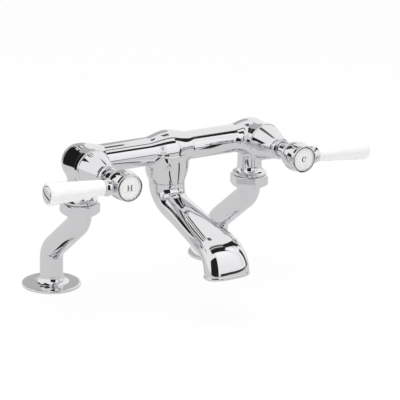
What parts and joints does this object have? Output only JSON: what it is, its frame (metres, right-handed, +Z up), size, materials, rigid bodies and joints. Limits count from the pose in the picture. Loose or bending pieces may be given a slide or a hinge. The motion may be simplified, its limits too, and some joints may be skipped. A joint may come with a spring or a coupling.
{
  "type": "bath shower mixer",
  "caption": "Deck-mounted bath filler: crossbar body with a swan-neck spout, quarter-turn lever valves and cranked legs on round flanges.",
  "frame": {"origin": "on the deck, midway between the centres of the two legs' feet", "axes": "+X towards the cold side, -Y towards the person at the bath (the spout's mouth), +Z up"},
  "size_m": [0.3324, 0.1949, 0.1492],
  "materials": {
    "chrome": "polished plate",
    "porcelain": "white gloss glaze",
    "brass": "machined",
    "rubber": "moulded",
    "alumina": "lapped"
  },
  "bodies": {
    "mixer": {"mixer_body": "chrome", "spout": "chrome", "hot_union_nut": "chrome", "hot_union_washer": "rubber", "hot_leg": "chrome", "hot_foot_flange": "chrome", "hot_deck_seal": "rubber", "hot_cartridge_seal": "rubber", "hot_cartridge_body": "brass", "hot_fixed_disc": "alumina", "hot_bonnet_cover": "chrome", "cold_union_nut": "chrome", "cold_union_washer": "rubber", "cold_leg": "chrome", "cold_foot_flange": "chrome", "cold_deck_seal": "rubber", "cold_cartridge_seal": "rubber", "cold_cartridge_body": "brass", "cold_fixed_disc": "alumina", "cold_bonnet_cover": "chrome"},
    "hot_lever": {"hot_moving_disc": "alumina", "hot_spindle": "brass", "hot_spindle_seal": "rubber", "hot_spindle_clip": "brass", "hot_lever_hub": "chrome", "hot_hub_screw": "brass", "hot_index_disc": "porcelain", "hot_index_bezel": "chrome", "hot_lever_collar": "chrome", "hot_lever_rod": "brass", "hot_lever_grip": "porcelain", "hot_end_screw": "chrome"},
    "cold_lever": {"cold_moving_disc": "alumina", "cold_spindle": "brass", "cold_spindle_seal": "rubber", "cold_spindle_clip": "brass", "cold_lever_hub": "chrome", "cold_hub_screw": "brass", "cold_index_disc": "porcelain", "cold_index_bezel": "chrome", "cold_lever_collar": "chrome", "cold_lever_rod": "brass", "cold_lever_grip": "porcelain", "cold_end_screw": "chrome"}
  },
  "joints": [
    {"name": "hot_lever_turn", "type": "hinge", "parent": "mixer", "child": "hot_lever", "pos_m": [-0.09, -0.053, 0.132], "axis": [0, 1, 0], "range_deg": [0, 90]},
    {"name": "cold_lever_turn", "type": "hinge", "parent": "mixer", "child": "cold_lever", "pos_m": [0.09, -0.053, 0.132], "axis": [0, -1, 0], "range_deg": [0, 90]}
  ]
}
